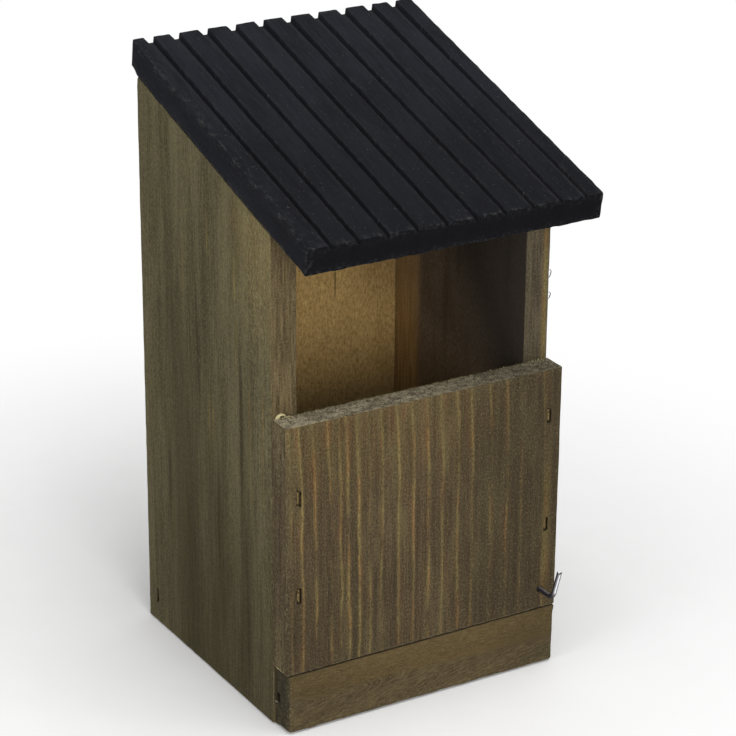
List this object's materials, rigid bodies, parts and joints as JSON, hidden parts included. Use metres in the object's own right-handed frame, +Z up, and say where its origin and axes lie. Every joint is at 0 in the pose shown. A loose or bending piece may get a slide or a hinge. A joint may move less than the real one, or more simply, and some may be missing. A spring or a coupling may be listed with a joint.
{
  "type": "robin nest box",
  "caption": "Open-fronted wooden nest box with a grooved sloping roof, a slide-out floor for cleaning and a turning hook that keeps the floor shut.",
  "frame": {"origin": "foot of the back face, half way across the box", "axes": "+Z up, +Y out of the back towards what the box hangs on, +X to the right of someone looking at the front"},
  "size_m": [0.138, 0.1523, 0.266],
  "materials": {
    "stained_side": "matt stained softwood",
    "stained_back": "matt stained softwood",
    "stained_front": "matt stained softwood, strong grain",
    "stained_strip": "matt stained softwood",
    "stained_floor": "matt stained softwood",
    "stained_batten": "matt stained softwood",
    "black_roof": "matt black stain on sawn softwood",
    "zinc_wire": "zinc plated",
    "staple_wire": "lacquered wire",
    "brad_wire": "bright wire"
  },
  "bodies": {
    "box": {"left_side": "stained_side", "right_side": "stained_side", "back_panel": "stained_back", "front_panel": "stained_front", "roof_board": "black_roof", "left_runner": "stained_batten", "right_runner": "stained_batten", "front_staples": "staple_wire", "side_staples": "staple_wire", "roof_brads": "brad_wire", "runner_brads": "brad_wire"},
    "slide_out_floor": {"floor_board": "stained_floor", "floor_front": "stained_strip", "floor_brads": "brad_wire"},
    "hook": {"turn_hook": "zinc_wire"}
  },
  "joints": [
    {"name": "floor_slide", "type": "slide", "parent": "box", "child": "slide_out_floor", "axis": [0, -1, 0], "range_m": [0, 0.12]},
    {"name": "hook_turn", "type": "hinge", "parent": "box", "child": "hook", "pos_m": [0.0585, -0.127, 0.0365], "axis": [0, 1, 0], "range_deg": [0, 164.4]}
  ]
}
